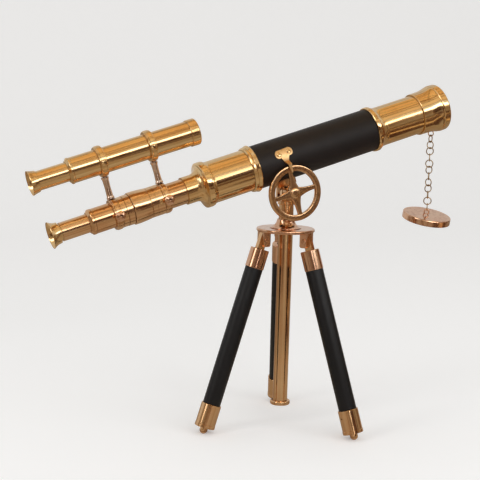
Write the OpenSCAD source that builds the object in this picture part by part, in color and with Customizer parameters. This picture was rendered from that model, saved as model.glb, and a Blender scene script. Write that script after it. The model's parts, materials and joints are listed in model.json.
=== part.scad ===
/* [Tripod] */
// Height of the top plate's upper face above the floor
plate_z = 205; // [200:1:215]
// Radius of the top plate
plate_r = 29.6; // [29:0.1:32]
// Thickness of the top plate
plate_t = 3.5; // [3:0.5:4]
// Distance of each leg's hinge pin from the column's axis
pivot_r = 25.7; // [25:0.1:27]
// Depth of each hinge pin below the plate's upper face
pivot_drop = 11; // [10.5:0.1:12]
// Length of a leg from its hinge pin to the centre of its foot ball
leg_len = 200; // [196:1:206]
// Radius of the foot ball
foot_r = 4; // [3.5:0.1:4.5]
// How much of the foot ball is worn flat where it stands
foot_flat = 0.4; // [0.3:0.1:0.6]
// Radius of the leather on the legs
leg_r = 9; // [8.8:0.1:9.2]
// Turn of the tripod against the telescope, seen from above
leg_turn = 5; // [-15:1:15]
// How far the rear hinge sits round the plate from the even spacing, in degrees
rear_hinge_off = 9; // [0:1:12]

/* [Column and head] */
// Radius of the centre column
column_r = 7.5; // [7.4:0.1:7.6]
// Height of the column's lower end above the floor
column_z0 = 21.3; // [14:0.1:30]
// Height of the altitude axle above the floor
axle_z = 243; // [241:0.5:246]
// How far the altitude axle lies behind the column's axis
axle_back = 2.8; // [0:0.1:3]
// Radius of the altitude axle
axle_r = 2.5; // [2:0.1:3]
// Outer radius of the altitude wheel
wheel_r = 28; // [27:0.5:29]
// Distance of the wheel's middle plane from the telescope's middle plane
wheel_side = 25.2; // [25:0.1:26]

/* [Telescope] */
// Altitude of the telescope above the level, in degrees
tilt = 17; // [10:1:25]
// Height of the optical axis above the axle, square to the tube
axis_h = 31.7; // [31.5:0.1:33]
// Radius of the leather on the main tube
barrel_r = 21.85; // [21.7:0.05:21.9]
// Height of the finder's axis above the main optical axis
finder_h = 52.5; // [50:0.5:56]
// Station of the rear pillar along the tube, counted from the axle
pillar_rear = -174.4;
// Station of the front pillar along the tube
pillar_front = -124.1;
// Running clearance of every sliding or turning fit, on the radius
fit = 0.05; // [0.03:0.01:0.08]

/* [Chain and cap] */
// Radius of a chain link, to the middle of its wire
link_r = 3.87; // [3.8:0.01:4]
// Radius of the chain's wire
wire_r = 0.55; // [0.5:0.01:0.56]
// Number of links in the chain
links = 12; // [9:1:12]
// Number of those links that swing with the upper length
upper_links = 6; // [3:1:6]
// Radius of the objective cap
cap_r = 25.6; // [25.6:0.1:28]

/* [Hidden] */
$fn = 96;
brass = "#c9953f";
pale_brass = "#d8b563";
rose_brass = "#b9784a";
black_leather = "#1c1b1e";
brown_leather = "#2a2220";
lens_glass = "#9fb8b4";

plate_under = plate_z - plate_t;
pivot_z = plate_z - pivot_drop;
leg_angle = acos((pivot_z - foot_r + foot_flat) / leg_len);
cheek_in = 3.05;
cheek_out = 7;
tongue = cheek_in - 0.1;
leg_bore = 6.5;
cheek_inner = 5;
cheek_outer = 2.6;
tongue_inner = 3.25;
tongue_outer = 4.4;
pin_r = 1.5;
ferrule_top = 9.8;
ferrule_top_end = 29.8;
ferrule_bottom = 173;
ferrule_bottom_end = 195;
column_top = 229;
end_cap_t = 4.2;
spigot_r = 5.5;
wheel_t = 4.6;
rim_w = 6;
hub_r = 5.6;
tube_r = 20.2;
tube_bore = 19.2;
shell_r = 20.95;
sleeve_r = 13.1;
neck_sleeve_r = 12.35;
draw_r = 12.25;
eyepiece_r = 9.11;
finder_r = 12.3;
finder_bore = 11.3;
finder_draw_r = 9.25;
cell_r = 20.3;
ring_half = 3.4;
ring_screw_r = 3.2;
ring_seat = 14.35;
main_ring_r = [15.5, 15.2];
finder_ring_r = [15.2, 15.4];
leather_end = 106.8;
pointer_lobe = 5.6;
pointer_s = 0.5;
pointer_z = axis_h + 9.25;
pointer_lean = 2.5;
pointer_len = 19.8;
pointer_t = 1.2;
pointer_side = wheel_side + wheel_t / 2 + 0.7;
shank_r = 1.2;
grip_screw_s = -131.05;
hooked = 2 * wire_r + 0.03;
link_step = 2 * link_r - hooked;
eye_r = 3;
chain_pivot = hooked - eye_r;
eye_s = 177.7;
eye_drop = 24.4;
cap_loop_r = 2.5;
cap_loop_turn = 58;
cap_lean = [12.4, 3];
cap_t = 1.2;
cap_skirt = 6.5;

function arc(cx, cy, r, from, to, n = 8) =
    [for (i = [0:n]) let (a = from + (to - from) * i / n) [cx + r * cos(a), cy + r * sin(a)]];

// Depth of a link's centre below the eye's centre, and its turn about the plumb line
function link_drop(k) = chain_pivot - link_r - link_step * (k - 1);
function link_turn(k) = [123, 22, 81, 148, 44, 94, 145, 18, 90, 152, 60, 148][k - 1];

// A profile of [radius, height] points turned about the upright axis
module turned(points) rotate_extrude() polygon(points);

// The telescope's own frame: X along the tube, its origin on the altitude axle
module telescope() translate([-axle_back, 0, axle_z]) rotate([0, -tilt, 0]) children();

// Profiles turned in here lie along the tube: height is the station from the axle
module on_axis(h = axis_h) telescope() translate([0, 0, h]) rotate([0, 90, 0]) children();

module on_finder() on_axis(axis_h + finder_h) children();

// A cylinder along Y between two stations
module bar_y(r, y0, y1) translate([0, y1, 0]) rotate([90, 0, 0]) cylinder(r = r, h = y1 - y0);

// Extra turn of a hinge round the plate: only the rear one is off the even spacing
function hinge_off(i) = i == 0 ? rear_hinge_off : 0;

// A leg's frame: its origin on the hinge pin, the leg running down its Z axis
module leg_frame(i) {
    heading = leg_turn + 60 + 120 * i;
    at = heading + hinge_off(i);
    translate([pivot_r * cos(at), pivot_r * sin(at), pivot_z]) rotate([0, -leg_angle, heading]) children();
}

module leg_part(r, from, to) translate([0, 0, -to]) cylinder(r = r, h = to - from);

module tripod_plate() color(rose_brass) {
    turned(concat([[9, plate_under], [plate_r - 1.5, plate_under]],
        arc(plate_r - 1.5, plate_under + 1.5, 1.5, -90, 0),
        arc(plate_r - 1.2, plate_z - 1.2, 1.2, 0, 90), [[9, plate_z]]));
    for (i = [0:2]) difference() {
        intersection() {
            leg_frame(i) for (side = [-1, 1]) hinge_cheek(side);
            cylinder(r = 60, h = plate_under + 0.4);
        }
        leg_frame(i) bar_y(pin_r, -9, 9);
    }
}

// A cheek hangs plumb from the plate beside the leg's tongue, its lower corners rounded off
module hinge_cheek(side) rotate([0, leg_angle, 0]) rotate([90, 0, 0])
    translate([0, 0, side > 0 ? -cheek_out : cheek_in]) linear_extrude(cheek_out - cheek_in)
        polygon(concat([[cheek_outer, 16], [-cheek_inner, 16]], arc(2.2 - cheek_inner, -4.6, 2.2, 180, 270),
            arc(cheek_outer - 2.2, -4.6, 2.2, 270, 360)));

module hinge_pins() color(brass) for (i = [0:2]) leg_frame(i) difference() {
    union() {
        bar_y(pin_r, -cheek_out - 0.4, cheek_out + 0.5);
        translate([0, -cheek_out - 1.2, 0]) rotate([-90, 0, 0])
            turned([[0, 0], [1.7, 0], [2.4, 0.5], [2.4, 1.2], [0, 1.2]]);
    }
    translate([0, cheek_out + 0.6, 0]) bar_y(0.8, -1.6, 0);
    translate([-3, -cheek_out - 1.3, -0.3]) cube([6, 0.7, 0.6]);
}

module column_bush() color(brass) difference() {
    turned([[column_r + fit, plate_under], [9, plate_under], [9, plate_z], [8.3, plate_z],
        [8.3, plate_z + 4.3], [column_r + fit, plate_z + 4.3]]);
    for (i = [0:2]) rotate([0, 0, 120 * i]) translate([0, -0.4, plate_z - 2]) cube([10, 0.8, 8]);
}

// The bell-shaped collar that closes the split bush on the column
module column_collar() color(rose_brass)
    turned(concat([[8.3 + fit, plate_z + 0.1], [15.6, plate_z + 0.1], [15.7, plate_z + 0.5]],
        arc(18, plate_z + 9.3, 9, -105, -172, 12),
        [[9, plate_z + 8.8], [8.7, plate_z + 9], [column_r + 0.3, plate_z + 9],
         [column_r + 0.3, plate_z + 4.6], [8.3 + fit, plate_z + 4.6]]));

// The leg's tube with its hinge tongue; the tongue's heel meets the plate when the leg is spread
module leg_tube(i) color(brass) leg_frame(i) difference() {
    heel = pivot_drop - plate_t - 0.05;
    shoulder = ferrule_top - 0.05;
    union() {
        translate([0, tongue, 0]) rotate([90, 0, 0]) linear_extrude(2 * tongue)
            polygon([[-tongue_inner, -14], [tongue_inner, -14], [tongue_inner, -shoulder],
                [tongue_outer, -shoulder],
                [tongue_outer, (heel - tongue_outer * sin(leg_angle)) / cos(leg_angle)],
                [heel * sin(leg_angle), heel * cos(leg_angle)], [0, heel - 0.6], [-tongue_inner, 5]]);
        leg_part(leg_r - 1, ferrule_top + 2, ferrule_bottom_end - 5);
    }
    bar_y(pin_r + fit, -9, 9);
    leg_part(leg_bore, ferrule_top + 12, ferrule_bottom_end);
}

module leg_top_ferrule(i) color(rose_brass) leg_frame(i) difference() {
    translate([0, 0, -ferrule_top_end]) turned([[0, 0], [leg_r + 0.3, 0], [leg_r + 0.5, 0.3],
        [leg_r + 0.5, 19.6], [leg_r + 0.1, 20], [0, 20]]);
    leg_part(4.6, ferrule_top - 1, ferrule_top + 3);
    leg_part(leg_r - 1, ferrule_top + 2, ferrule_top_end + 1);
}

module leg_leather(i) color(black_leather) leg_frame(i) difference() {
    leg_part(leg_r, ferrule_top_end, ferrule_bottom);
    leg_part(leg_r - 1, ferrule_top_end - 1, ferrule_bottom + 1);
}

module leg_bottom_ferrule(i) color(rose_brass) leg_frame(i) difference() {
    translate([0, 0, -ferrule_bottom_end - 2]) turned([[0, 0], [leg_r + 1.2, 0], [leg_r + 1.4, 0.2],
        [leg_r + 1.4, 3.2], [leg_r + 1.15, 3.4], [leg_r + 1.15, 23.8], [leg_r + 1, 24], [0, 24]]);
    leg_part(leg_r - 1, ferrule_bottom - 1, ferrule_bottom_end - 5);
    leg_part(2.5, ferrule_bottom_end - 4, ferrule_bottom_end + 3);
    rotate([0, 0, -23]) translate([0, -leg_r - 1.4, -180.5]) bar_y(0.8, 0, 1.5);
}

module leg_foot(i) color(brass) difference() {
    leg_frame(i) {
        leg_part(2.5, ferrule_bottom_end - 4, ferrule_bottom_end + 3);
        leg_part(foot_r, ferrule_bottom_end + 2, leg_len);
        difference() {
            translate([0, 0, -leg_len]) sphere(r = foot_r);
            leg_part(foot_r + 1, ferrule_bottom_end - 6, ferrule_bottom_end + 2);
        }
    }
    translate([0, 0, -10]) cylinder(r = 120, h = 10);
}

module column_tube() color(brass) difference() {
    translate([0, 0, column_z0 + end_cap_t]) cylinder(r = column_r, h = column_top - column_z0 - end_cap_t);
    cylinder(r = spigot_r + fit, h = column_top + 1);
}

module column_end_cap() color(brass) {
    translate([0, 0, column_z0]) turned(concat([[0, 0]], arc(9, 1.3, 1.3, -90, 0, 4),
        arc(9, end_cap_t - 1.3, 1.3, 0, 70, 4), [[8.4, end_cap_t], [0, end_cap_t]]));
    translate([0, 0, column_z0 + end_cap_t]) cylinder(r = spigot_r, h = 8);
}

module fork_head() color(brass) difference() {
    union() {
        translate([0, 0, column_top - 14]) cylinder(r = spigot_r, h = 15);
        translate([0, 0, column_top + 0.1]) turned([[0, 0], [8.6, 0], [9, 0.4], [9, 3.4],
            [8.2, 4.4], [0, 4.4]]);
        translate([0, 7.5, 0]) rotate([90, 0, 0]) linear_extrude(15)
            polygon(concat([[-axle_back - 6, column_top + 4], [5.8, column_top + 4], [5.8, axle_z - 7]],
                arc(-axle_back, axle_z, 6, 10, 180, 14)));
    }
    translate([-12, -3.35, axle_z - 8]) cube([24, 6.7, 20]);
    translate([-axle_back, 0, axle_z]) bar_y(axle_r, -9, 9);
}

// A shouldered bolt: its head is on the far side and its free end carries the wheel
module altitude_axle() color(brass) translate([-axle_back, 0, axle_z]) {
    bar_y(axle_r, -wheel_side, 7.6);
    translate([0, 7.5, 0]) rotate([-90, 0, 0])
        turned([[0, 0], [4.6, 0], [4.6, 1.6], [3.6, 2.6], [1.6, 3.1], [0, 3.1]]);
}

// Half width of a wheel spoke at a distance from the hub's centre
function spoke_half(r) = 2.1 + 2.6 * pow((wheel_r - rim_w - r) / (wheel_r - rim_w - 5.4), 2.4);

module wheel_spokes() {
    inner = wheel_r - rim_w;
    flank = [for (i = [0:8]) let (r = 5.4 + (inner - 5.4) * i / 8) [r, spoke_half(r)]];
    for (turn = [0:90:270]) rotate([0, 0, turn])
        polygon(concat([[0, 0]], [for (p = flank) [p[0], -p[1]]], [[inner + 2, -2], [inner + 2, 2]],
            [for (i = [8:-1:0]) flank[i]]));
}

// The spoked wheel screws on the axle and clamps the fork; its hub is blind
module altitude_wheel() color(rose_brass)
    translate([-axle_back, -wheel_side, axle_z]) rotate([90, 0, 0]) rotate([0, 0, tilt]) difference() {
        union() {
            turned([[wheel_r - rim_w, -1.9], [wheel_r - rim_w + 0.5, -wheel_t / 2],
                [wheel_r - 1.8, -wheel_t / 2], [wheel_r - 0.6, -1.5], [wheel_r, -0.3], [wheel_r, 0.3],
                [wheel_r - 0.6, 1.5], [wheel_r - 1.8, wheel_t / 2], [wheel_r - rim_w + 0.5, wheel_t / 2],
                [wheel_r - rim_w, 1.9]]);
            translate([0, 0, -1.8]) linear_extrude(3.6) wheel_spokes();
            turned([[0, 7.7 - wheel_side], [hub_r, 7.7 - wheel_side], [hub_r, 1.8],
                [hub_r - 0.9, 2.7], [2.2, 3.3], [0, 3.3]]);
        }
        translate([0, 0, -wheel_side]) cylinder(r = axle_r + fit, h = wheel_side + 0.2);
    }

module saddle() color(brass) telescope() difference() {
    union() {
        bar_y(6, -3.2, 3.2);
        translate([-6, -3.2, 0]) cube([12, 6.4, 9]);
        translate([-10.5, -11, 6.9]) cube([21, 22, 8]);
    }
    translate([-20, 0, axis_h]) rotate([0, 90, 0]) cylinder(r = barrel_r, h = 40);
    bar_y(axle_r + fit, -9, 9);
    saddle_screw_shanks();
}

module saddle_screw_places() for (x = [-7.5, 7.5]) for (y = [-7, 7]) translate([x, y, 0]) children();

module saddle_screw_shanks() saddle_screw_places() translate([0, 0, 6]) cylinder(r = shank_r, h = 5.6);

module barrel_tube() color(brass) on_axis()
    turned([[tube_bore, -60], [tube_r, -60], [tube_r, 110.4], [tube_bore, 110.4]]);

module barrel_leather() color(brown_leather) on_axis()
    turned([[tube_r, -27], [barrel_r, -27], [barrel_r, leather_end], [tube_r, leather_end]]);

// The outline of the pointer, square to the tube's side: two lobes and a tapering finger, set a little askew
module pointer_outline() translate([pointer_s, 0, pointer_z]) rotate([0, -pointer_lean, 0]) {
    edge = [[pointer_lobe, 3.7], [pointer_lobe, -3], [4, -4.4], [2.7, -7.4], [1.9, -10], [1.35, -15],
        [0.5, -pointer_len]];
    for (side = [-1, 1]) translate([side * pointer_lobe, 0, 0]) bar_y(3.8, -35, 0);
    rotate([90, 0, 0]) linear_extrude(35)
        polygon(concat(edge, [for (i = [len(edge) - 1:-1:0]) [-edge[i][0], edge[i][1]]]));
}

// The sheet the pointer is cut from: it lies on the tube, then steps out past the wheel's rim
module pointer_sheet() {
    outer = barrel_r + pointer_t;
    difference() {
        translate([-15, 0, axis_h]) rotate([0, 90, 0]) cylinder(r = outer, h = 30);
        translate([-16, 0, axis_h]) rotate([0, 90, 0]) cylinder(r = barrel_r, h = 32);
        translate([-20, -40, 0]) cube([40, 80, axis_h]);
    }
    translate([-15, 0, 0]) rotate([90, 0, 90]) linear_extrude(30)
        polygon([[-barrel_r - 0.05, axis_h + 1.4], [-barrel_r - 0.05, axis_h - 0.2],
            [-pointer_side, wheel_r + 1.2], [-pointer_side, 0], [-pointer_side - pointer_t, 0],
            [-pointer_side - pointer_t, wheel_r + 2.2], [-outer + 0.1, axis_h + 1.4]]);
}

module index_pointer() color(pale_brass) telescope() difference() {
    intersection() {
        pointer_outline();
        pointer_sheet();
    }
    pointer_screw_places() cylinder(r = shank_r, h = 12, center = true);
}

module pointer_screw_places()
    for (side = [-1, 1]) {
        out = side * pointer_lobe;
        rise = pointer_z + out * sin(pointer_lean) - axis_h;
        translate([pointer_s + out * cos(pointer_lean), 0, axis_h])
            rotate([90 - asin(rise / (barrel_r + pointer_t)), 0, 0])
                translate([0, 0, barrel_r + pointer_t]) children();
    }

module screw_head(r, h) difference() {
    turned([[0, 0], [r, 0], [r, h * 0.45], [r * 0.75, h * 0.85], [r * 0.3, h], [0, h]]);
    translate([-r, -0.3, h * 0.5]) cube([2 * r, 0.6, h]);
}

// Slotted screws of the pointer and the saddle, and the small one in the grip sleeve
module small_screws() color(pale_brass) telescope() {
    pointer_screw_places() {
        rotate([0, 0, 35]) screw_head(2.3, 1);
        translate([0, 0, -3.4]) cylinder(r = shank_r, h = 3.4);
    }
    saddle_screw_places() {
        translate([0, 0, 6.9]) mirror([0, 0, 1]) screw_head(2.2, 1);
        translate([0, 0, 6.9]) cylinder(r = shank_r, h = 5.5);
    }
    translate([grip_screw_s, -14.9, axis_h]) rotate([90, 0, 0]) {
        screw_head(2, 0.8);
        translate([0, 0, -1.2]) cylinder(r = 1 - fit, h = 1.2);
    }
}

module barrel_collar() color(pale_brass) on_axis()
    turned(concat([[tube_r, -34.8], [21.4, -34.8], [22.6, -33.4], [22.9, -31.8], [22.5, -31.4], [22.9, -31]],
        arc(22.7, -28.4, 1.2, 0, 90), [[tube_r, -27.2]]));

// The brass body behind the collar: a neck that opens through a hollow curve to its shoulder bead
module rear_shell() color(pale_brass) on_axis()
    turned(concat([[neck_sleeve_r + 0.05, -102.6], [13.65, -102.6], [13.65, -93]],
        [for (p = arc(-93, 22.15, 8.5, -90, -4)) [p[1], p[0]]],
        [for (p = arc(-83.7, 22.3, 0.5, 180, 90, 2)) [p[1], p[0]]],
        [[22.9, -82.4], [22.9, -79], [22.4, -77.2], [21.4, -76.2], [shell_r, -74.8], [shell_r, -35],
         [tube_r + 0.05, -35], [tube_r + 0.05, -80.6], [18.6, -83.2], [15.2, -85.6], [13, -88],
         [neck_sleeve_r + 0.05, -90]]));

// The sleeve is wide under the rings and the grip, where the draw tube slides, and slimmer in front
module focus_sleeve() color(brass) on_axis()
    turned([[draw_r + fit, -177.8], [sleeve_r, -177.8], [sleeve_r, -120.7], [neck_sleeve_r, -120.5],
        [neck_sleeve_r, -94], [draw_r - 0.95, -94], [draw_r - 0.95, -121.5], [draw_r + fit, -121.5]]);

module grip_sleeve() color(brass) on_axis() difference() {
    turned([[sleeve_r, -170.9], [14.7, -170.9], [14.7, -165.6], [14.2, -165.4], [14.2, -165.2],
        [14.9, -165], [14.9, -159.3], [14.3, -159.1], [14.3, -158.9], [15.7, -158.7], [15.95, -157.8],
        [15.95, -153], [15.6, -147.5], [15.05, -141.4], [14.9, -140.9], [14.5, -140.7], [14.5, -140.5],
        [14.85, -140.3], [14.85, -135.4], [14.6, -135.3], [14.6, -135.2], [14.85, -135.1],
        [14.85, -127.9], [14.2, -127.6], [sleeve_r, -127.6]]);
    translate([0, 0, grip_screw_s]) rotate([90, 0, 0]) cylinder(r = 1, h = 20);
}

module objective_cell() color(pale_brass) on_axis()
    turned(concat([[tube_r, leather_end], [22.6, leather_end], [23.1, 107.4], [23.35, 108.6], [23.35, 110.8]],
        [for (p = arc(119.5, 34.4, 14, -126.4, -90)) [p[1], p[0]]],
        [[cell_r, 120], [cell_r, 172], [19.5, 172],
         [19.5, 150], [18.4, 149], [18.4, 111.4], [tube_r, 110.4]]));

module objective_lens() color(lens_glass, 0.5) on_axis()
    turned(concat([[0, 150.2]], [for (p = arc(194, 0, 43.8, 180, 154)) [p[1], p[0]]],
        [for (p = arc(-8.2, 0, 168, 6.6, 0)) [p[1], p[0]]]));

module lens_ring() color(pale_brass) on_axis() difference() {
    turned([[17.6, 158.9], [19.5, 158.9], [19.5, 161.6], [18.4, 161.6]]);
    for (turn = [0, 180]) rotate([0, 0, turn]) translate([17, -0.6, 160.8]) cube([3, 1.2, 2]);
}

// A clamp ring on a tube, with a raised band, a pillar hole, and a side screw hole with its flat seat
module clamp_ring(station, bore, outer, pillar_turn, screw_r, seat_r = 0) difference() {
    translate([0, 0, station]) turned([[bore, -ring_half], [outer - 0.9, -ring_half],
        [outer - 0.5, 0.4 - ring_half], [outer - 0.5, -2.1], [outer, -1.7], [outer, 1.7],
        [outer - 0.5, 2.1], [outer - 0.5, ring_half - 0.4], [outer - 0.9, ring_half], [bore, ring_half]]);
    translate([0, 0, station]) rotate([0, 0, pillar_turn]) rotate([0, 90, 0]) cylinder(r = 1.8, h = outer + 2);
    translate([0, 0, station]) rotate([90, 0, 0]) cylinder(r = screw_r, h = outer + 2);
    if (seat_r > 0) translate([0, 0, station]) rotate([90, 0, 0]) translate([0, 0, ring_seat])
        cylinder(r = seat_r, h = 4);
}

module rear_main_ring() color(brass) on_axis()
    clamp_ring(pillar_rear, sleeve_r, main_ring_r[0], 180, 1.4 + fit);

module front_main_ring() color(brass) on_axis()
    clamp_ring(pillar_front, sleeve_r, main_ring_r[1], 180, 1.4 + fit);

module rear_finder_ring() color(pale_brass) on_finder()
    clamp_ring(pillar_rear, finder_r, finder_ring_r[0], 0, 1.2, ring_screw_r + 0.1);

module front_finder_ring() color(pale_brass) on_finder()
    clamp_ring(pillar_front, finder_r, finder_ring_r[1], 0, 1.2, ring_screw_r + 0.1);

// A turned pillar between a main ring and the finder's ring, waisted, with a spigot at each end
module pillar(low, high) turned([[0, low - 1.4], [1.8, low - 1.4], [1.8, low + 0.3], [3.9, low + 0.3],
    [3.8, low + 1.6], [3.2, low + 3.2], [2.9, (low + high) / 2], [3.2, high - 3.2], [3.8, high - 1.6],
    [3.9, high - 0.5], [1.8, high - 0.5], [1.8, high + 1.4], [0, high + 1.4]]);

module finder_pillars() color(brass) telescope() {
    translate([pillar_rear, 0, axis_h]) pillar(main_ring_r[0] - 0.1, finder_h - finder_ring_r[0] + 0.2);
    translate([pillar_front, 0, axis_h]) pillar(main_ring_r[1] - 0.1, finder_h - finder_ring_r[1] + 0.2);
}

module finder_ring_screws() color(pale_brass) on_finder()
    for (station = [pillar_rear, pillar_front]) translate([0, 0, station]) rotate([90, 0, 0]) {
        translate([0, 0, 12.4]) cylinder(r = 1.2, h = 2.1);
        translate([0, 0, ring_seat + 0.05]) rotate([0, 0, 60]) screw_head(ring_screw_r, 1.6);
    }

module finder_tube() color(pale_brass) on_finder()
    turned([[finder_bore, -203.4], [finder_r, -203.4], [finder_r, -83.5], [finder_bore, -83.5]]);

module finder_collar() color(pale_brass) on_finder()
    turned([[finder_draw_r + fit, -207.5], [10, -207.5], [12.5, -205.6], [12.75, -205.2], [12.75, -204],
        [12.4, -203.5], [finder_bore - 0.05, -203.5], [finder_bore - 0.05, -197],
        [finder_draw_r + fit, -197]]);

module finder_cell() color(pale_brass) on_finder()
    turned(concat([[9.6, -89], [finder_bore - 0.05, -89], [finder_bore - 0.05, -83.4], [12.8, -83.4],
        [13.2, -83], [13.2, -75.7]], [for (p = arc(-75.7, 11.7, 1.5, 90, 0, 5)) [p[1], p[0]]],
        [[10.8, -74.2], [10.45, -74.6], [10.45, -79.9], [9.6, -80.2]]));

module finder_objective() color(lens_glass, 0.5) on_finder()
    turned(concat([[0, -81.6]], [for (p = arc(-51.6, 0, 30, 180, 159.8)) [p[1], p[0]]],
        [for (p = arc(-137, 0, 60.6, 9.8, 0)) [p[1], p[0]]]));

module draw_tube() color(brass) on_axis()
    turned([[draw_r - 1, -197], [draw_r, -197], [draw_r, -140.5], [draw_r - 1, -140.5]]);

module draw_collar() color(brass) on_axis()
    turned([[eyepiece_r + fit, -202.3], [10, -202.3], [12.3, -200.1], [12.5, -199.7], [12.5, -197.4],
        [12.15, -197.1], [draw_r - 1.05, -197.1], [draw_r - 1.05, -190], [eyepiece_r + fit, -190]]);

module eyepiece_tube() color(brass) on_axis()
    turned([[8.2, -229.3], [eyepiece_r, -229.3], [eyepiece_r, -150], [8.2, -150]]);

// An eyepiece cup: a thin horn that flares to the eye, dished inside, with a spigot in its draw tube.
// The flank is its outside from the lip to the step.
module horn(station, mouth_r, flank, spigot, eye_hole) translate([0, 0, station]) {
    step = flank[len(flank) - 1][1];
    turned(concat([[spigot - 1, 18], [spigot - 1, 8.4], [eye_hole, 8.4], [eye_hole, 7], [eye_hole + 0.5, 6.6],
        [mouth_r - 4.6, 6.2], [mouth_r - 3.3, 5.2], [mouth_r - 2.5, 3.6], [mouth_r - 1.7, 2],
        [mouth_r - 1, 0.8], [mouth_r - 0.5, 0.1], [mouth_r - 0.2, 0], [mouth_r, 0.3]],
        flank, [[spigot, step], [spigot, 18]]));
}

module eyepiece_cup() color(pale_brass) on_axis()
    horn(-239.85, 13.1, arc(22.5, 8.5, 12.3, -142, -180, 8), 8.15, 4);

module eye_lens() color(lens_glass, 0.5) on_axis()
    turned(concat([[0, -231.35], [7.1, -231.35], [7.1, -229.6]],
        [for (p = arc(-244.45, 0, 16.6, 25.2, 0, 6)) [p[1], p[0]]]));

module finder_draw_tube() color(pale_brass) on_finder()
    turned([[8.3, -236.7], [finder_draw_r, -236.7], [finder_draw_r, -170], [8.3, -170]]);

module finder_eyepiece_cup() color(pale_brass) on_finder()
    horn(-244.15, 12, [[11.7, 1], [10.9, 4], [10.3, 7], [10.2, 7.4]], 8.25, 3.6);

module finder_eye_lens() color(lens_glass, 0.5) on_finder()
    turned(concat([[0, -235.65], [7.2, -235.65], [7.2, -234.1]],
        [for (p = arc(-248.15, 0, 15.8, 27, 0, 6)) [p[1], p[0]]]));

// The sunshade: a sleeve on the objective cell that flares to a rounded front lip
module dew_cap() color(pale_brass) {
    on_axis() turned(concat([[cell_r + fit, 162.7], [21.6, 162.7], [21.9, 163]],
        [for (p = arc(171, 62.1, 40, -90, -72)) [p[1], p[0]]],
        [[24.2, 184.6], [23.9, 185], [24.4, 185.5], [24.6, 186.2], [24.6, 191]],
        [for (p = arc(191, 22.1, 2.5, 90, 10, 5)) [p[1], p[0]]],
        [[21.9, 193.2], [20.9, 177.5], [cell_r + fit, 176.5]]));
    chain_top() ring(eye_r, 28);
}

// The centre of the eye under the sunshade, from which the chain hangs plumb
module chain_top() {
    x = eye_s * cos(tilt) - (axis_h - eye_drop) * sin(tilt) - axle_back;
    z = eye_s * sin(tilt) + (axis_h - eye_drop) * cos(tilt);
    translate([x, 0, axle_z + z]) children();
}

// A round wire ring that stands upright, its face turned by an angle about Z
module ring(r, turn) rotate([0, 0, turn]) rotate([0, 90, 0])
    rotate_extrude($fn = 48) translate([r, 0]) circle(r = wire_r, $fn = 16);

module chain_links(from, to) color("#a58245") chain_top()
    for (k = [from:to]) translate([0, 0, link_drop(k)]) ring(link_r, link_turn(k));

// The cap hangs from its off-centre loop with its weight plumb below the loop's top
module lens_cap() color(pale_brass) {
    hang = link_drop(links) - link_r + hooked;
    loop_z = 2 * cap_loop_r - 0.4;
    plumb = (loop_z + 1.7) / (cos(cap_lean[0]) * cos(cap_lean[1]));
    foot = [-plumb * sin(cap_lean[1]), plumb * sin(cap_lean[0]) * cos(cap_lean[1])];
    chain_top() translate([0, 0, hang]) rotate([cap_lean[0], cap_lean[1], 0])
        translate([-foot[0], -foot[1], -loop_z]) {
            translate([foot[0], foot[1], loop_z - cap_loop_r]) ring(cap_loop_r, cap_loop_turn);
            turned([[0, -cap_t], [cap_r - 0.6, -cap_t], [cap_r - 0.6, -cap_skirt], [cap_r, -cap_skirt],
                [cap_r, -0.9], [cap_r - 0.3, -0.3], [cap_r - 1, 0], [0, 0]]);
        }
}

// A domed clamp screw in the side of a main ring
module ring_knob(station) color(brass) telescope() translate([station, 0, axis_h]) rotate([90, 0, 0]) {
    translate([0, 0, 13.4]) cylinder(r = 1.4, h = 3);
    translate([0, 0, 15.6]) turned([[0, 0], [3.5, 0], [3.8, 1], [4.7, 1.6], [5, 2.5], [4.8, 3.7],
        [4, 4.7], [2.2, 5.5], [0, 5.7]]);
}

tripod_plate();
column_bush();
hinge_pins();
column_collar();
leg_tube(0);  // leg_1_tube
leg_top_ferrule(0);  // leg_1_top_ferrule
leg_leather(0);  // leg_1_leather
leg_bottom_ferrule(0);  // leg_1_bottom_ferrule
leg_foot(0);  // leg_1_foot
leg_tube(1);  // leg_2_tube
leg_top_ferrule(1);  // leg_2_top_ferrule
leg_leather(1);  // leg_2_leather
leg_bottom_ferrule(1);  // leg_2_bottom_ferrule
leg_foot(1);  // leg_2_foot
leg_tube(2);  // leg_3_tube
leg_top_ferrule(2);  // leg_3_top_ferrule
leg_leather(2);  // leg_3_leather
leg_bottom_ferrule(2);  // leg_3_bottom_ferrule
leg_foot(2);  // leg_3_foot
column_tube();
column_end_cap();
fork_head();
altitude_axle();
altitude_wheel();
saddle();
barrel_tube();
barrel_leather();
index_pointer();
small_screws();
barrel_collar();
rear_shell();
focus_sleeve();
grip_sleeve();
objective_cell();
objective_lens();
lens_ring();
rear_main_ring();
front_main_ring();
finder_pillars();
rear_finder_ring();
front_finder_ring();
finder_ring_screws();
finder_tube();
finder_collar();
finder_cell();
finder_objective();
draw_tube();
draw_collar();
eyepiece_tube();
eyepiece_cup();
eye_lens();
finder_draw_tube();
finder_eyepiece_cup();
finder_eye_lens();
dew_cap();
chain_links(1, upper_links);  // chain_upper
chain_links(upper_links + 1, links);  // chain_lower
lens_cap();
ring_knob(pillar_rear);  // rear_ring_knob
ring_knob(pillar_front);  // front_ring_knob
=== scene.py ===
# %% [markdown]
# A brass table telescope on a leather-clad tripod, dressed for the camera.
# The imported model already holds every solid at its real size, so this file never moves or
# resizes one. It gives each piece its finish, replaces the pieces whose looks need finer work
# than a turned or sawn solid has, sets up a pale studio and puts the camera where the photograph
# was taken from. Everything is in metres, with X the way the tube points and Z up.

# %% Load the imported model
import json
import math

import bmesh
import bpy
from mathutils import Matrix, Vector


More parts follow.
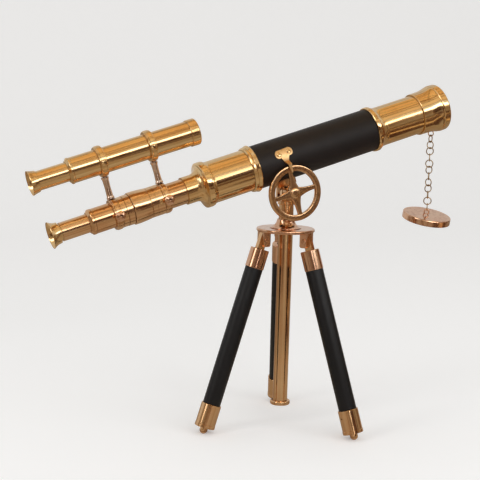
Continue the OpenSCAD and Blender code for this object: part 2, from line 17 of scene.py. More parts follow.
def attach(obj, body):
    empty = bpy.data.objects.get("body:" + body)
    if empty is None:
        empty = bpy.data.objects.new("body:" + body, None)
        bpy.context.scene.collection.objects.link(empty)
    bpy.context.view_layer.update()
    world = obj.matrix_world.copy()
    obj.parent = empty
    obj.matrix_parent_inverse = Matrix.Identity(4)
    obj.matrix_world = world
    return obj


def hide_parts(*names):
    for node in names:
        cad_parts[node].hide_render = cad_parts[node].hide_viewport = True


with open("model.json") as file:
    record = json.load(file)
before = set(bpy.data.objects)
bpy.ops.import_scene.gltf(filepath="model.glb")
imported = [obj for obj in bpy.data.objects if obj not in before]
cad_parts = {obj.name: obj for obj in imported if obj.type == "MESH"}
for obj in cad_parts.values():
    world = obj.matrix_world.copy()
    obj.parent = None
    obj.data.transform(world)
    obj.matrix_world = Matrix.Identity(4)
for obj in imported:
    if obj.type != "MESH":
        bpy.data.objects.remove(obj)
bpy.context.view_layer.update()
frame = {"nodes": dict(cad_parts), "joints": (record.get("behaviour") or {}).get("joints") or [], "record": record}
nodes = frame["nodes"]

# %% [markdown]
# The model's own joints say where things are: the altitude joint lies on the axle, the sunshade
# slides along the tube, and each leg folds about its pin. So no place has to be typed in twice.
# Three helpers follow from them: a matrix for the tube's frame, one for the wheel's, and one for
# each leg, with X away from the pin's plane and Z up along the leg.

# %% Places taken from the joints
MM = 0.001
joints = {joint["name"]: joint for joint in frame["joints"]}
mounts = {mount["name"]: mount for mount in frame["record"]["mounts"]}
AXLE = Vector(joints["altitude"]["pos_m"])
ALONG = Vector(joints["shade_slide"]["axis"]).normalized()
TILT = math.atan2(ALONG.z, ALONG.x)
UP = Vector((0, 0, 1))
ACROSS = Vector((0, 1, 0))

# The barrel's axis runs this far above the axle, and a foot's ball is this high at its centre
BARREL_HEIGHT = 31.7 * MM
BALL_HEIGHT = 3.6 * MM

tube_frame = Matrix.Translation(AXLE) @ Matrix.Rotation(-TILT, 4, "Y")


def leg_axis(number):
    """The way up a leg, from the centre of its foot ball to its pin."""
    pin = Vector(joints[f"leg_{number}_fold"]["pos_m"])
    foot = Vector(mounts[f"foot_{number}"]["pos_m"])
    return (pin - foot - Vector((0, 0, BALL_HEIGHT))).normalized()


def leg_frame(number):
    """The frame of a leg: its origin on the pin, Z up the leg, Y along the pin."""
    pin = Vector(joints[f"leg_{number}_fold"]["pos_m"])
    up = leg_axis(number)
    along_pin = Vector(joints[f"leg_{number}_fold"]["axis"]).normalized()
    out = along_pin.cross(up)
    turn = Matrix((out, along_pin, up)).transposed().to_4x4()
    return Matrix.Translation(pin) @ turn


# The wheel's middle stands this far to the side of the tube
WHEEL_SIDE = 25.2 * MM
wheel_frame = (Matrix.Translation(AXLE - ACROSS * WHEEL_SIDE) @ Matrix.Rotation(math.radians(90), 4, "X")
               @ Matrix.Rotation(TILT, 4, "Z"))
print("tube points", ALONG[:], "leg 1 goes up", leg_axis(1)[:])

# %% [markdown]
# The photograph's camera was worked out from the feet, the plate, the wheel and the tubes. It
# stands about 1.14 m away, a little to the eyepiece's side, 0.35 m up, and looks slightly down.
# It was also held a touch askew, so it has a roll. The studio's camera is put just there.

# %% Camera
IMAGE = 480
FOCAL_PIXELS = 1132.7
CAMERA_AT = Vector((-476.1, -1036.2, 351.7)) * MM
CAMERA_YAW = math.radians(22.37)
CAMERA_PITCH = math.radians(-8.02)
CAMERA_ROLL = math.radians(1.60)

lens = bpy.data.cameras.new("studio_camera")
lens.sensor_width = 36
lens.lens = FOCAL_PIXELS / IMAGE * lens.sensor_width
lens.clip_end = 20
camera = bpy.data.objects.new("studio_camera", lens)
bpy.context.scene.collection.objects.link(camera)
camera.matrix_world = (
    Matrix.Translation(CAMERA_AT)
    @ Matrix.Rotation(-CAMERA_YAW, 4, "Z")
    @ Matrix.Rotation(math.radians(90) + CAMERA_PITCH, 4, "X")
    @ Matrix.Rotation(CAMERA_ROLL, 4, "Z")
)
bpy.context.scene.camera = camera
print("camera looks along", (camera.matrix_world.to_3x3() @ Vector((0, 0, -1)))[:])

# %% [markdown]
# Shader nodes are easier to read as sums. A Wire holds one output socket of a material's tree,
# and the usual signs on it add the Math nodes, so a mask can be written as 1 - a * b. Vectors
# have their own few calls, because a Math node would turn them into a single number.

# %% Sums made of shader nodes
class Wire:
    """One value in a material's node tree."""

    def __init__(self, tree, socket):
        self.tree = tree
        self.socket = socket

    def node(self, kind, settings=None, inputs=None, output=0):
        """Adds any node: its settings first, then values or wires for its sockets."""
        new = self.tree.nodes.new(kind)
        for name, value in (settings or {}).items():
            setattr(new, name, value)
        for name, value in (inputs or {}).items():
            self.plug(value, new.inputs[name])
        return Wire(self.tree, new.outputs[output])

    def plug(self, value, socket):
        """Links a wire to a socket, or writes a plain value there."""
        if isinstance(value, Wire):
            self.tree.links.new(value.socket, socket)
        else:
            socket.default_value = value

    def sum(self, operation, *values):
        """One Math node on wires and numbers."""
        return self.node("ShaderNodeMath", {"operation": operation}, dict(enumerate(values)))

    def __add__(self, other):
        return self.sum("ADD", self, other)

    def __sub__(self, other):
        return self.sum("SUBTRACT", self, other)

    def __mul__(self, other):
        return self.sum("MULTIPLY", self, other)

    def __rsub__(self, other):
        return self.sum("SUBTRACT", other, self)

    __radd__ = __add__
    __rmul__ = __mul__

    def between(self, low, high):
        """0 below low, 1 above high, and an even slope between them."""
        return self.node("ShaderNodeMapRange", {"clamp": True},
                         {"Value": self, "From Min": low, "From Max": high})

    def dot(self, way):
        """How far the point lies along a way, as one number."""
        return self.node("ShaderNodeVectorMath", {"operation": "DOT_PRODUCT"},
                         {0: self, 1: tuple(way)}, output="Value")

    def stretched(self, way, across, along):
        """The same point, with its part along a way and the rest scaled each by its own."""
        onto = self.node("ShaderNodeVectorMath", {"operation": "SCALE"},
                         {0: tuple(way), "Scale": self.dot(way)})
        rest = self.node("ShaderNodeVectorMath", {"operation": "SUBTRACT"}, {0: self, 1: onto})
        wide = self.node("ShaderNodeVectorMath", {"operation": "SCALE"}, {0: rest, "Scale": across})
        long = self.node("ShaderNodeVectorMath", {"operation": "SCALE"}, {0: onto, "Scale": along})
        return self.node("ShaderNodeVectorMath", {"operation": "ADD"}, {0: wide, 1: long})

    def noise(self, scale=1.0, detail=3.0, rough=0.5):
        """A cloudy pattern from 0 to 1 on this point."""
        return self.node("ShaderNodeTexNoise", {"noise_dimensions": "3D"},
                         {"Vector": self, "Scale": scale, "Detail": detail, "Roughness": rough})

    def blend(self, low, high):
        """A colour that goes from low to high as this value goes from 0 to 1."""
        return self.node("ShaderNodeMix", {"data_type": "RGBA"},
                         {0: self, 6: low, 7: high}, output=2)


# %% [markdown]
# A material could be set up node by node each time, but all of them start and end alike: from the
# point on the object, to the sockets of one shader. A Finish holds just those two ends, so that
# the recipe between them is all that a material's own function has to say.

# %% A material being made
class Finish:
    """A material being made: its point on the object, and its Principled shader."""

    def __init__(self, name):
        self.material = bpy.data.materials.new(name)
        self.material.use_nodes = True
        self.tree = self.material.node_tree
        self.shader = self.tree.nodes["Principled BSDF"]
        start = self.tree.nodes.new("ShaderNodeTexCoord")
        self.point = Wire(self.tree, start.outputs["Object"])

    def set(self, **values):
        """Writes or links the shader's sockets: Base_Color=..., Roughness=..."""
        for name, value in values.items():
            self.point.plug(value, self.shader.inputs[name.replace("_", " ")])
        return self

    def bump(self, height, depth):
        """Turns a height from 0 to 1 into relief of a real depth."""
        return self.point.node("ShaderNodeBump", output="Normal",
                               inputs={"Strength": 1.0, "Distance": depth, "Height": height})


def colour(red, green, blue):
    """An opaque colour for a socket."""
    return (red, green, blue, 1.0)


# %% [markdown]
# Polished brass looks rich because it is never quite even: lacquer lets some patches go warmer,
# the lathe leaves fine rings round each turned piece, and brown tarnish stays in the corners
# where no cloth reaches; the darkening found there by occlusion is partly painted shade too. The
# rings matter most. They spread each reflection along the piece and leave it sharp across, which
# draws the long streaks seen on such tubes. The straight lines along each piece, paler and darker
# by turns, are partly the drawing die's own and partly painted reflection streaks in the colour.
# So each brass is told which way its piece was turned.

# %% Brass
# The brown of tarnish, also the colour of the painted shade in corners and of the painted dark reflection lines
TARNISH_AND_SHADE = (0.20, 0.085, 0.035)


# How dark the corners go is given to it: tarnish there, and painted shade as well
def brass(name, bright, warm, axis, rough=0.12, tarnish_and_shade=0.55, grain=1.0):
    """Polished brass turned about an axis, bright to warm in straight streaks that are partly painted reflections.
    """
    finish = Finish(name)
    point = finish.point
    # Straight streaks along the piece: partly the drawing die's lines, partly painted reflection streaks
    streaks = point.stretched(axis, 330, 3).noise(detail=3.0, rough=0.55)
    fine = point.stretched(axis, 1400, 6).noise(detail=2.0)
    clouds = point.noise(scale=34, detail=3.0)
    tone = (streaks * 0.6 + fine * 0.2 + clouds * 0.35).between(0.4, 0.75)
    # Darker lines among the streaks: painted dark reflections as well as darker die lines
    lines = streaks.between(0.56, 0.66) * fine.between(0.3, 0.6)
    # Occlusion darkens the corners: brown tarnish there, and painted shade as well
    corner = point.node("ShaderNodeAmbientOcclusion", {"samples": 6},
                        {"Distance": 2.0 * MM}, output="AO")
    specks = point.noise(scale=420, detail=2.0).between(0.66, 0.74)
    # What turns tarnish brown: corners (tarnish and painted shade), painted dark reflection lines, and real specks
    dark = ((1 - corner.between(0.3, 0.9)) * tarnish_and_shade + lines * 0.42
            + specks * clouds.between(0.5, 0.7) * 0.25)
    metal = tone.blend(colour(*bright), colour(*warm))
    # The metal with tarnish and painted shade mixed into its colour
    tarnished_and_shaded = dark.blend(metal, colour(*TARNISH_AND_SHADE))
    smudge = point.noise(scale=70, detail=5.0, rough=0.65)
    rings = point.stretched(axis, 0.0, 3800).noise(detail=1.0)
    finish.set(Base_Color=tarnished_and_shaded, Metallic=1.0,
               Roughness=rough + smudge.between(0.35, 0.8) * 0.09 + dark * 0.2,
               Normal=finish.bump(rings, 0.002 * MM * grain))
    return finish.material


# Each tone is its bright colour and its warm one
PALE = ((0.93, 0.70, 0.38), (0.86, 0.50, 0.20))
GOLD = ((0.91, 0.64, 0.37), (0.78, 0.41, 0.19))
ROSE = ((0.90, 0.61, 0.41), (0.76, 0.38, 0.22))
CHAIN = ((0.66, 0.54, 0.38), (0.44, 0.31, 0.18))
WHEEL = ((0.89, 0.60, 0.34), (0.68, 0.36, 0.17))
POINTER = ((0.91, 0.65, 0.34), (0.84, 0.48, 0.20))
PILLAR = ((0.92, 0.76, 0.64), (0.82, 0.56, 0.41))

# %% [markdown]
# Leather is a soft black or brown with small raised cells, a little shinier on their tops. Its
# grain could be laid on as a picture, but a picture repeats and shows where its edges meet, so
# the grain is worked out from each point's own place. Two scales of cells keep it from looking
# like a stamped pattern, and handling has worn it paler and smoother in broad patches.

# %% Leather
CELLS_PER_METRE = 1500.0
GRAIN_DEPTH = 0.05 * MM


def leather(name, dark, worn, shine):
    """Grained leather between a dark and a worn colour."""
    finish = Finish(name)
    point = finish.point
    wavy = point.node("ShaderNodeTexNoise", inputs={"Vector": point, "Scale": 900.0}, output="Color")
    bent = point.node("ShaderNodeMix", {"data_type": "VECTOR"},
                      {0: 0.0006, 4: point, 5: wavy}, output=1)
    cells = bent.node("ShaderNodeTexVoronoi", {"feature": "DISTANCE_TO_EDGE"},
                      {"Vector": bent, "Scale": CELLS_PER_METRE}).between(0.0, 0.35)
    small = point.noise(scale=CELLS_PER_METRE * 2.2, detail=2.0)
    patches = point.noise(scale=24, detail=4.0, rough=0.6).between(0.35, 0.75)
    height = cells * 0.75 + small * 0.25
    tone = (patches * 0.6 + cells * 0.25).blend(colour(*dark), colour(*worn))
    finish.set(Base_Color=tone, Roughness=shine + 0.16 - cells * 0.08 - patches * 0.08,
               Specular_IOR_Level=0.34, Normal=finish.bump(height, GRAIN_DEPTH))
    return finish.material


# %% [markdown]
# Lens glass is clear, with the faint green of its coating and a little dust. It only shows at the
# ends of the tubes, as a dark eye with one glint. A see-through surface would be quicker, but the
# lenses are real solids here, so light passes through them and is bent as in true glass.

# %% Glass
def glass(name):
    """Coated lens glass, faintly blue-green."""
    finish = Finish(name)
    dust = finish.point.noise(scale=90, detail=4.0)
    finish.set(Base_Color=dust.blend(colour(0.93, 0.98, 0.97), colour(0.86, 0.95, 0.94)),
               Roughness=0.02 + dust * 0.04, Transmission_Weight=1.0, IOR=1.5)
    return finish.material


# %% [markdown]
# Every node gets its finish by its name. Pieces turned about the tube, the upright column, a leg
# or the axle need their own axis, so a finish is kept for each pair of tone and axis that is in
# use, and made the first time that it is asked for.

# %% Give every node its finish
made = {}


def brass_for(tone, axis_name, axis):
    """The brass of a tone and axis, made once."""
    key = tone + "_" + axis_name
    if key not in made:
        bright, warm = {"pale": PALE, "gold": GOLD, "rose": ROSE}[tone]
        made[key] = brass("brass_" + key, bright, warm, axis)
    return made[key]


TUBE_PALE = ["barrel_collar", "rear_shell", "objective_cell", "lens_ring", "dew_cap",
             "rear_finder_ring", "front_finder_ring", "finder_tube", "finder_collar",
             "finder_cell", "finder_draw_tube", "finder_eyepiece_cup", "eyepiece_cup"]
TUBE_GOLD = ["focus_sleeve", "grip_sleeve", "barrel_tube", "rear_main_ring", "front_main_ring",
             "draw_tube", "draw_collar", "eyepiece_tube"]
finishes = {}
for name in TUBE_PALE:
    finishes[name] = brass_for("pale", "tube", ALONG)
for name in TUBE_GOLD:
    finishes[name] = brass_for("gold", "tube", ALONG)
for name in ("tripod_plate", "column_collar", "lens_cap"):
    finishes[name] = brass_for("rose", "upright", UP)
for name in ("column_tube", "column_end_cap", "column_bush", "fork_head", "saddle"):
    finishes[name] = brass_for("gold", "upright", UP)
for name in ("altitude_axle", "rear_ring_knob", "front_ring_knob", "hinge_pins"):
    finishes[name] = brass_for("rose", "axle", ACROSS)
for name in ("small_screws", "finder_ring_screws"):
    finishes[name] = brass_for("pale", "axle", ACROSS)
finishes["altitude_wheel"] = brass("brass_brushed_rose", *WHEEL, ACROSS, rough=0.17, grain=3.0)
finishes["index_pointer"] = brass("brass_brushed_pale", *POINTER, ACROSS, rough=0.38, grain=3.0)
finishes["finder_pillars"] = brass("brass_pillar", *PILLAR, tube_frame.to_3x3() @ UP)
for number in (1, 2, 3):
    for part in ("tube", "foot", "bottom_ferrule"):
        finishes[f"leg_{number}_{part}"] = brass_for("gold", f"leg_{number}", leg_axis(number))
    finishes[f"leg_{number}_top_ferrule"] = brass_for("rose", f"leg_{number}", leg_axis(number))
# The chain's links go much darker where they meet: tarnish, and painted shade as well
chain_brass = brass("brass_chain", *CHAIN, UP, rough=0.3, tarnish_and_shade=0.8)
finishes["chain_upper"] = finishes["chain_lower"] = chain_brass
lens_glass = glass("lens_glass")
for name in ("objective_lens", "finder_objective", "eye_lens", "finder_eye_lens"):
    finishes[name] = lens_glass
black_leather = leather("leather_black", (0.003, 0.003, 0.004), (0.008, 0.007, 0.008), 0.28)
brown_leather = leather("leather_brown", (0.008, 0.005, 0.005), (0.014, 0.009, 0.008), 0.40)
for number in (1, 2, 3):
    finishes[f"leg_{number}_leather"] = black_leather
finishes["barrel_leather"] = brown_leather

for name, node in nodes.items():
    node.data.materials.clear()
    node.data.materials.append(finishes[name])
print("finishes", len(set(finishes.values())))

# %% [markdown]
# A piece made here starts as a bmesh. Turned pieces are spun from their profile, as on a lathe,
# and the rest are blocks whose edges are broken, since no hand-finished metal has a sharp one.
# Each piece is closed, shaded smooth up to its real edges, and rides on the body that it is
# part of.

# %% Helpers for new pieces
SHARP_FROM = math.radians(35)


def close(name, shape, material, node, body):
    """Turns a finished bmesh into an object that takes a node's place."""
    bmesh.ops.recalc_face_normals(shape, faces=shape.faces)
    mesh = bpy.data.meshes.new(name)
    shape.to_mesh(mesh)
    shape.free()
    mesh.materials.append(material)
    mesh.shade_smooth()
    mesh.set_sharp_from_angle(angle=SHARP_FROM)
    piece = bpy.data.objects.new(name, mesh)
    bpy.context.scene.collection.objects.link(piece)
    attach(piece, body)
    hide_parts(node)
    print(name, len(mesh.polygons), "faces")
    return piece


def add(whole, part, place):
    """Puts a part's bmesh in place and joins it to the whole piece."""
    bmesh.ops.transform(part, matrix=place, verts=part.verts)
    carried = bpy.data.meshes.new("part")
    part.to_mesh(carried)
    part.free()
    whole.from_mesh(carried)
    bpy.data.meshes.remove(carried)


def spin(profile, steps=128, closed=True):
    """A part spun about Z from a profile of (radius, height) in millimetres."""
    part = bmesh.new()
    points = [part.verts.new((radius * MM, 0, height * MM)) for radius, height in profile]
    lines = [part.edges.new(pair) for pair in zip(points, points[1:])]
    if closed:
        lines.append(part.edges.new((points[-1], points[0])))
    bmesh.ops.spin(part, geom=points + lines, cent=(0, 0, 0), axis=(0, 0, 1),
                   angle=math.tau, steps=steps, use_merge=True)
    bmesh.ops.remove_doubles(part, verts=part.verts, dist=0.001 * MM)
    return part


# %% [markdown]
# The altitude wheel is cast and then filed: four spokes flow into the hub with hollow flanks,
# and every edge is rounded over, so each carries a thin bright line. It could be one sawn sheet,
# but then those lines would be missing, and they are what draws the wheel. Its hub is a blind
# nut with a domed face.

# %% Altitude wheel
# Outlines as (radius, height) in millimetres: the rim is the same above its middle as below
RIM_LOWER = [(22.0, -1.6), (22.2, -2.05), (22.7, -2.3), (26.8, -2.3), (27.5, -2.05), (27.9, -1.4),
             (28.0, -0.6)]
RIM = RIM_LOWER + [(radius, -height) for radius, height in reversed(RIM_LOWER)]
HUB = [(0, 0.2), (2.55, 0.2), (2.55, -17.5), (5.2, -17.5), (5.6, -17.1), (5.6, 1.5), (5.35, 2.1),
       (4.7, 2.6), (3.6, 3.0), (2.2, 3.25), (0, 3.3)]
# A spoke in millimetres: its ends, half its thickness, and the rounding of its edges
SPOKE_FROM = 4.6
SPOKE_TO = 22.8
SPOKE_HALF = 1.85
SPOKE_ROUND = 0.5
# Half its width at the rim, and the curve by which that grows towards the hub
SPOKE_NARROW = 2.1
FLARE = 2.6
FLARE_FROM = 22.0
FLARE_LENGTH = 16.6
FLARE_POWER = 2.4


def spoke_width(radius):
    """Half width of a spoke at a distance from the hub's centre, in millimetres."""
    inward = max(0.0, (FLARE_FROM - radius) / FLARE_LENGTH)
    return SPOKE_NARROW + FLARE * inward ** FLARE_POWER


def spoke():
    """One spoke along X, with its long edges rounded over."""
    part = bmesh.new()
    bmesh.ops.create_grid(part, x_segments=14, y_segments=1, size=0.5)
    for vert in part.verts:
        reach = SPOKE_FROM + (vert.co.x + 0.5) * (SPOKE_TO - SPOKE_FROM)
        vert.co = Vector((reach, math.copysign(spoke_width(reach), vert.co.y), -SPOKE_HALF)) * MM
    raised = bmesh.ops.extrude_face_region(part, geom=part.faces[:])["geom"]
    top = [item for item in raised if isinstance(item, bmesh.types.BMVert)]
    bmesh.ops.translate(part, vec=(0, 0, 2 * SPOKE_HALF * MM), verts=top)
    bmesh.ops.recalc_face_normals(part, faces=part.faces)
    long_edges = [edge for edge in part.edges if edge.calc_face_angle(0) > math.radians(60)
                  and abs(edge.verts[0].co.x - edge.verts[1].co.x) > 0.1 * MM]
    bmesh.ops.bevel(part, geom=long_edges, offset=SPOKE_ROUND * MM, offset_type="OFFSET", segments=3,
                    profile=0.5, affect="EDGES", material=-1)
    return part


wheel = bmesh.new()
add(wheel, spin(RIM), wheel_frame)
add(wheel, spin(HUB, closed=False), wheel_frame)
for quarter in range(4):
    add(wheel, spoke(), wheel_frame @ Matrix.Rotation(math.radians(90 * quarter), 4, "Z"))
close("wheel_cast", wheel, finishes["altitude_wheel"], "altitude_wheel", "wheel")

# %% [markdown]
# Leather is wrapped round the tube wet and sewn along one line, where its edges turn up into a
# low welt. The maker puts that line where nobody looks: under the barrel and on the inner side
# of each leg. The sleeve's ends are pared thin, so they run in softly under the brass. The
# stitches are short rounded grains of waxed thread on both sides of the welt. Both could be
# drawn with a bump, but a bump leaves the outline smooth, so they are real shapes here.

# %% Leather sleeves
THREAD = Finish("waxed_thread").set(Base_Color=colour(0.028, 0.02, 0.015), Roughness=0.6).material
# Sizes in millimetres: the rolled end as (below the outside, in from the end), the welt across
# its line, and each stitch out, round and along
ROLLED_END = [(0.55, 0), (0.25, 0.12), (0.06, 0.4), (0, 0.9)]
WELT_SIZE = (0.5, 1.1)
WELT_SHORTER = 1.6
WELT_ROUND = 0.22
STITCH_PITCH = 3.4
STITCH_SIDE = 1.25
STITCH_SUNK = 0.02
STITCH_SIZE = (0.5, 0.42, 2.1)


def sleeve(name, node, body, place, inner, outer, start, end, seam_turn, leather_finish):
    """A sewn leather sleeve along Z of a frame, from start to end, in millimetres."""
    shape = bmesh.new()
    profile = ([(outer - depth, start + rise) for depth, rise in ROLLED_END]
               + [(outer - depth, end - rise) for depth, rise in reversed(ROLLED_END)]
               + [(inner, end), (inner, start)])
    add(shape, spin(profile), place)
    along = place @ Matrix.Rotation(math.radians(seam_turn), 4, "Z")
    middle = (start + end) / 2
    length = end - start
    welt_place = (along @ Matrix.Translation(Vector((outer, 0, middle)) * MM)
                  @ Matrix.Diagonal(Vector((*WELT_SIZE, length - WELT_SHORTER)) * MM).to_4x4())
    welt = bmesh.ops.create_cube(shape, size=1.0, matrix=welt_place)["verts"]
    edges = [edge for edge in {edge for vert in welt for edge in vert.link_edges}
             if edge.calc_length() > max(WELT_SIZE) * MM * 2]
    bmesh.ops.bevel(shape, geom=edges, offset=WELT_ROUND * MM, offset_type="OFFSET", segments=2,
                    profile=0.5, affect="EDGES", material=-1)
    count = round(length / STITCH_PITCH)
    thread_from = len(shape.faces)
    for number in range(count):
        height = start + length * (number + 0.5) / count
        for side in (-STITCH_SIDE, STITCH_SIDE):
            stitch = (along @ Matrix.Translation(Vector((outer - STITCH_SUNK, side, height)) * MM)
                      @ Matrix.Diagonal(Vector(STITCH_SIZE) * MM).to_4x4())
            bmesh.ops.create_icosphere(shape, subdivisions=1, radius=0.5, matrix=stitch)
    shape.faces.ensure_lookup_table()
    for face in shape.faces[thread_from:]:
        face.material_index = 1
    piece = close(name, shape, leather_finish, node, body)
    piece.data.materials.append(THREAD)


barrel_frame = (tube_frame @ Matrix.Translation(Vector((0, 0, BARREL_HEIGHT)))
                @ Matrix.Rotation(math.radians(90), 4, "Y"))
sleeve("barrel_wrap", "barrel_leather", "telescope", barrel_frame, inner=20.25, outer=21.85,
       start=-27, end=106.8, seam_turn=0, leather_finish=brown_leather)
for number in (1, 2, 3):
    sleeve(f"leg_{number}_wrap", f"leg_{number}_leather", f"leg_{number}", leg_frame(number),
           inner=8.05, outer=9.0, start=-173, end=-29.8, seam_turn=180, leather_finish=black_leather)

# %% [markdown]
# The studio is plain: a pale paper sweep under and behind the set, without a line between floor
# and wall, an even pale surround, and soft lamps. The camera sees the paper a little lifted, so
# the ground stays pale while the feet still throw a soft shadow on it.

# %% Paper and surround
# The sweep in metres: its straight floor, its bend, its top and half its width
SWEEP_BACK = 1.4
SWEEP_BEND = 2.2
SWEEP_TOP = 6.0
SWEEP_WIDE = 40.0
# What the surround gives as light, what the camera sees of it, and the paper's own tones
SURROUND_LIGHT = (0.66, 0.655, 0.65)
SURROUND_SEEN = (0.80, 0.79, 0.78)
PAPER = (0.88, 0.875, 0.865)
PAPER_LIFT = (0.20, 0.20, 0.20)
DULL = 0.85

world = bpy.data.worlds.new("studio")
bpy.context.scene.world = world
world.use_nodes = True
surround = world.node_tree.nodes["Background"]
to_camera = Wire(world.node_tree, None).node("ShaderNodeLightPath", output="Is Camera Ray")
to_camera.plug(to_camera.blend(colour(*SURROUND_LIGHT), colour(*SURROUND_SEEN)),
               surround.inputs["Color"])
bpy.context.scene.view_settings.view_transform = "Standard"


def stand_in_scene(name, mesh, material):
    """Links a studio thing and gives it its material."""
    thing = bpy.data.objects.new(name, mesh)
    bpy.context.scene.collection.objects.link(thing)
    mesh.materials.append(material)
    return thing


side_line = [(-SWEEP_WIDE, 0.0), (SWEEP_BACK, 0.0)]
side_line += [(SWEEP_BACK + SWEEP_BEND * math.sin(math.radians(turn)),
               SWEEP_BEND * (1 - math.cos(math.radians(turn)))) for turn in range(3, 91, 3)]
side_line += [(SWEEP_BACK + SWEEP_BEND, SWEEP_TOP)]
sweep = bmesh.new()
points = [sweep.verts.new((-SWEEP_WIDE, back, high)) for back, high in side_line]
lines = [sweep.edges.new(pair) for pair in zip(points, points[1:])]
raised = bmesh.ops.extrude_edge_only(sweep, edges=lines)["geom"]
bmesh.ops.translate(sweep, vec=(2 * SWEEP_WIDE, 0, 0),
                    verts=[item for item in raised if isinstance(item, bmesh.types.BMVert)])
bmesh.ops.recalc_face_normals(sweep, faces=sweep.faces)
paper = bpy.data.meshes.new("paper_sweep")
sweep.to_mesh(paper)
sweep.free()
paper.shade_smooth()
paper_seen = Finish("paper_seen")
to_camera = paper_seen.point.node("ShaderNodeLightPath", output="Is Camera Ray")
paper_seen.set(Base_Color=colour(*PAPER), Roughness=DULL, Specular_IOR_Level=0.0,
               Emission_Strength=1.0,
               Emission_Color=to_camera.blend(colour(0, 0, 0), colour(*PAPER_LIFT)))
stand_in_scene("paper_sweep", paper, paper_seen.material)
print("paper", len(paper.polygons), "faces")

# %% [markdown]
# Polished metal shows its whole room, and in a white room brass goes flat. So a photographer
# hangs cloths around the set, out of the picture, and the metal gets its depth from them. A
# picture of a room could stand in for them, but cloths can be put exactly where a reflection is
# wanted. Here they exist for reflections alone: the camera doesn't see them, and they throw no
# shadow.

# %% Cloths that only the metal sees
def cloth(name, tone):
    """A dull even stuff."""
    return Finish(name).set(Base_Color=colour(*tone), Roughness=DULL).material


def hang(name, shape, material):
    """Puts a bmesh up as a cloth that only shows in reflections."""
    mesh = bpy.data.meshes.new(name)
    shape.to_mesh(mesh)
    shape.free()
    hung = stand_in_scene(name, mesh, material)
    hung.visible_camera = False
    hung.visible_diffuse = False
    hung.visible_transmission = False
    hung.visible_shadow = False
    return hung


def card(name, size, place, aim, material):
    """A flat cloth of a width and a height that faces a point."""
    shape = bmesh.new()
    bmesh.ops.create_grid(shape, x_segments=1, y_segments=1, size=0.5)
    bmesh.ops.scale(shape, vec=(*size, 1), verts=shape.verts)
    hung = hang(name, shape, material)
    hung.location = place
    hung.rotation_euler = (Vector(aim) - Vector(place)).to_track_quat("Z", "Y").to_euler()


def round_the_set(azimuth, reach, height):
    """A place at a distance from the column and a height, in a direction in degrees."""
    turn = math.radians(azimuth)
    return Vector((math.cos(turn), math.sin(turn), 0)) * reach + UP * height


dark_cloth = cloth("dark_cloth", (0.075, 0.026, 0.012))
tan_cloth = cloth("tan_cloth", (0.36, 0.29, 0.21))
brown_cloth = cloth("brown_cloth", (0.17, 0.075, 0.035))
gold_cloth = cloth("gold_cloth", (1.0, 0.69, 0.34))
honey_cloth = cloth("honey_cloth", (1.0, 0.79, 0.50))
fawn_cloth = cloth("fawn_cloth", (0.50, 0.43, 0.34))

# %% [markdown]
# A tube mirrors a whole fan of the room, one direction for each line along it. So the cloths go
# round it in that fan: a dark one in front draws the dark band along the tubes, a honey one and a
# gold one above it keep the upper sides warm, and narrow slats break them into streaks. Upright
# slats do the same for the column and the legs.

# %% Cloths and slats round the set
# The camera's own direction, split along the tube and across it, comes back with these parts
MIRRORED_ALONG = 0.387
MIRRORED_FRONT = 0.922
SLAT_AIM = Vector((0, 0, 0.28))
SLAT_REACH = 1.45
HONEY_REACH = 1.8
SIDE_REACH = 1.72
SIDE_TALL = 0.84


def mirrored_way(rise):
    """The way in which a tube mirrors what stands in front, raised about the tube by degrees."""
    turn = math.radians(rise)
    front = ACROSS * -math.cos(turn) + ALONG.cross(ACROSS) * math.sin(turn)
    return ALONG * MIRRORED_ALONG + front * MIRRORED_FRONT


card("cloth_front", size=(3.8, 0.60), place=(0.35, -1.75, 0.42), aim=(0.35, 0, 0.42),
     material=dark_cloth)
card("cloth_right", size=(0.9, 1.0), place=(1.75, 0.1, 0.5), aim=(0, 0, 0.5), material=brown_cloth)
card("cloth_above", size=(2.4, 1.6), place=(0.25, 0.15, 1.9), aim=(0.25, 0.15, 0),
     material=gold_cloth)
for number, rise in enumerate((36, 55, 66, 78, 92, 110)):
    card(f"slat_high_{number}", size=(2.6, 0.035 + 0.015 * (number % 3)),
         place=SLAT_AIM + mirrored_way(rise) * SLAT_REACH, aim=SLAT_AIM, material=brown_cloth)
card("cloth_high", size=(3.4, 1.5), place=SLAT_AIM + mirrored_way(58) * HONEY_REACH, aim=SLAT_AIM,
     material=honey_cloth)
for number, azimuth in enumerate((-158, -141, -128, -84, -61, -47, -20)):
    card(f"slat_side_{number}", size=(0.08 + 0.05 * (number % 3), SIDE_TALL),
         place=round_the_set(azimuth, SIDE_REACH, SIDE_TALL / 2), aim=(0, 0, SIDE_TALL / 2),
         material=dark_cloth if number % 2 else brown_cloth)

# %% [markdown]
# The lower sides mirror the floor. Fawn and tan cloths lie there, and a tan curtain closes the
# round on the camera's side, so these sides stay brown. Dark and brown sectors give the column
# and the legs their stripes, and the strips on the right, dark with gold and brown between, give
# the sunshade's lower side its own. They could be one cloth with a painted pattern, but separate
# ones are quicker to shift until each stripe falls where the photograph has it.

# %% Cloths on the floor and the curtain
# Heights of the three layers on the floor, the reach of its cloths, and the curtain's size
LOW = 0.002
MIDDLE = 0.004
HIGH = 0.006
FLOOR_REACH = 1.8
CURTAIN_REACH = 2.0
CURTAIN_SIZE = (1.1, 0.9)


def floor_cloth(name, start, end, near, far, material, rise):
    """A cloth on the floor, a sector between two directions and two distances from the middle."""
    shape = bmesh.new()
    bmesh.ops.create_grid(shape, x_segments=round((end - start) / 2), y_segments=1, size=0.5)
    for vert in shape.verts:
        azimuth = start + (vert.co.x + 0.5) * (end - start)
        vert.co = round_the_set(azimuth, near + (vert.co.y + 0.5) * (far - near), rise)
    hang(f"cloth_floor_{name}", shape, material)


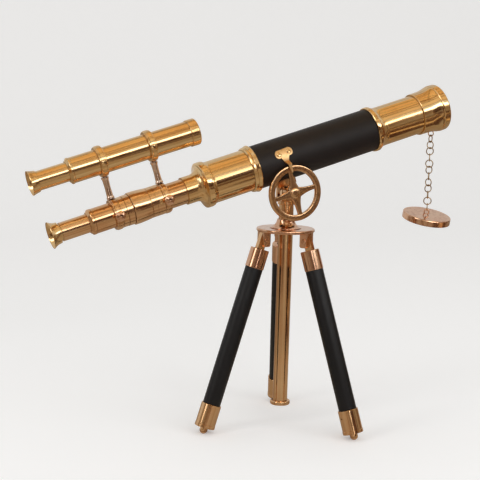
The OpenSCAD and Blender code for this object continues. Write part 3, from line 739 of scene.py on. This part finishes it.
for number, (start, end, near, tone) in enumerate([
        (-170, -152, 0.75, brown_cloth), (-146, -126, 0.75, dark_cloth),
        (-121, -117, 0.75, brown_cloth), (-82, -56, 0.85, dark_cloth),
        (-53, -38, 0.9, brown_cloth), (-33, -12, 0.9, dark_cloth)]):
    floor_cloth(number, start, end, near, FLOOR_REACH, tone, MIDDLE)
floor_cloth("wide", -180, 180, 0.30, 2.1, tan_cloth, LOW)
floor_cloth("near", -180, 180, 0.01, 0.30, fawn_cloth, LOW)
for number, (near, far, tone) in enumerate([
        (0.36, 0.54, dark_cloth), (0.54, 0.60, gold_cloth), (0.60, 0.80, dark_cloth),
        (0.80, 0.86, brown_cloth), (0.90, 1.10, dark_cloth), (1.10, 1.20, gold_cloth),
        (1.20, FLOOR_REACH, dark_cloth)]):
    floor_cloth(f"right_{number}", -64, -8, near, far, tone, HIGH)
for number in range(7):
    middle = CURTAIN_SIZE[1] / 2
    card(f"curtain_{number}", CURTAIN_SIZE, place=round_the_set(-30 * number, CURTAIN_REACH, middle),
         aim=(0, 0, middle), material=tan_cloth)

# %% [markdown]
# Three soft lamps light the set. The long one lies just above the dark cloth and draws the white
# line along the tubes, the slim upright one draws the bright line down the column and the
# ferrules, and a broad one on the left opens up the eyepieces' side. One big lamp could light
# the set too, but it would lie on every tube as one broad sheen, so each line has a lamp of its
# own shape.

# %% Lamps
LAMP_AIM = Vector((0, 0, 0.25))


def lamp(name, size, power, place):
    """A soft rectangular lamp that shines on the middle of the set."""
    light = bpy.data.lights.new(name, "AREA")
    light.shape = "RECTANGLE"
    light.size, light.size_y = size
    light.energy = power
    holder = bpy.data.objects.new(name, light)
    bpy.context.scene.collection.objects.link(holder)
    holder.location = place
    holder.rotation_euler = (LAMP_AIM - Vector(place)).to_track_quat("-Z", "Y").to_euler()


lamp("lamp_long", size=(2.8, 0.40), power=11, place=(0.4, -1.75, 0.98))
lamp("lamp_slim", size=(0.09, 0.9), power=1.0, place=(-0.21, -1.70, 0.5))
lamp("lamp_left", size=(0.5, 1.2), power=5, place=(-1.7, -0.5, 0.9))
print("lamps", len(bpy.data.lights))
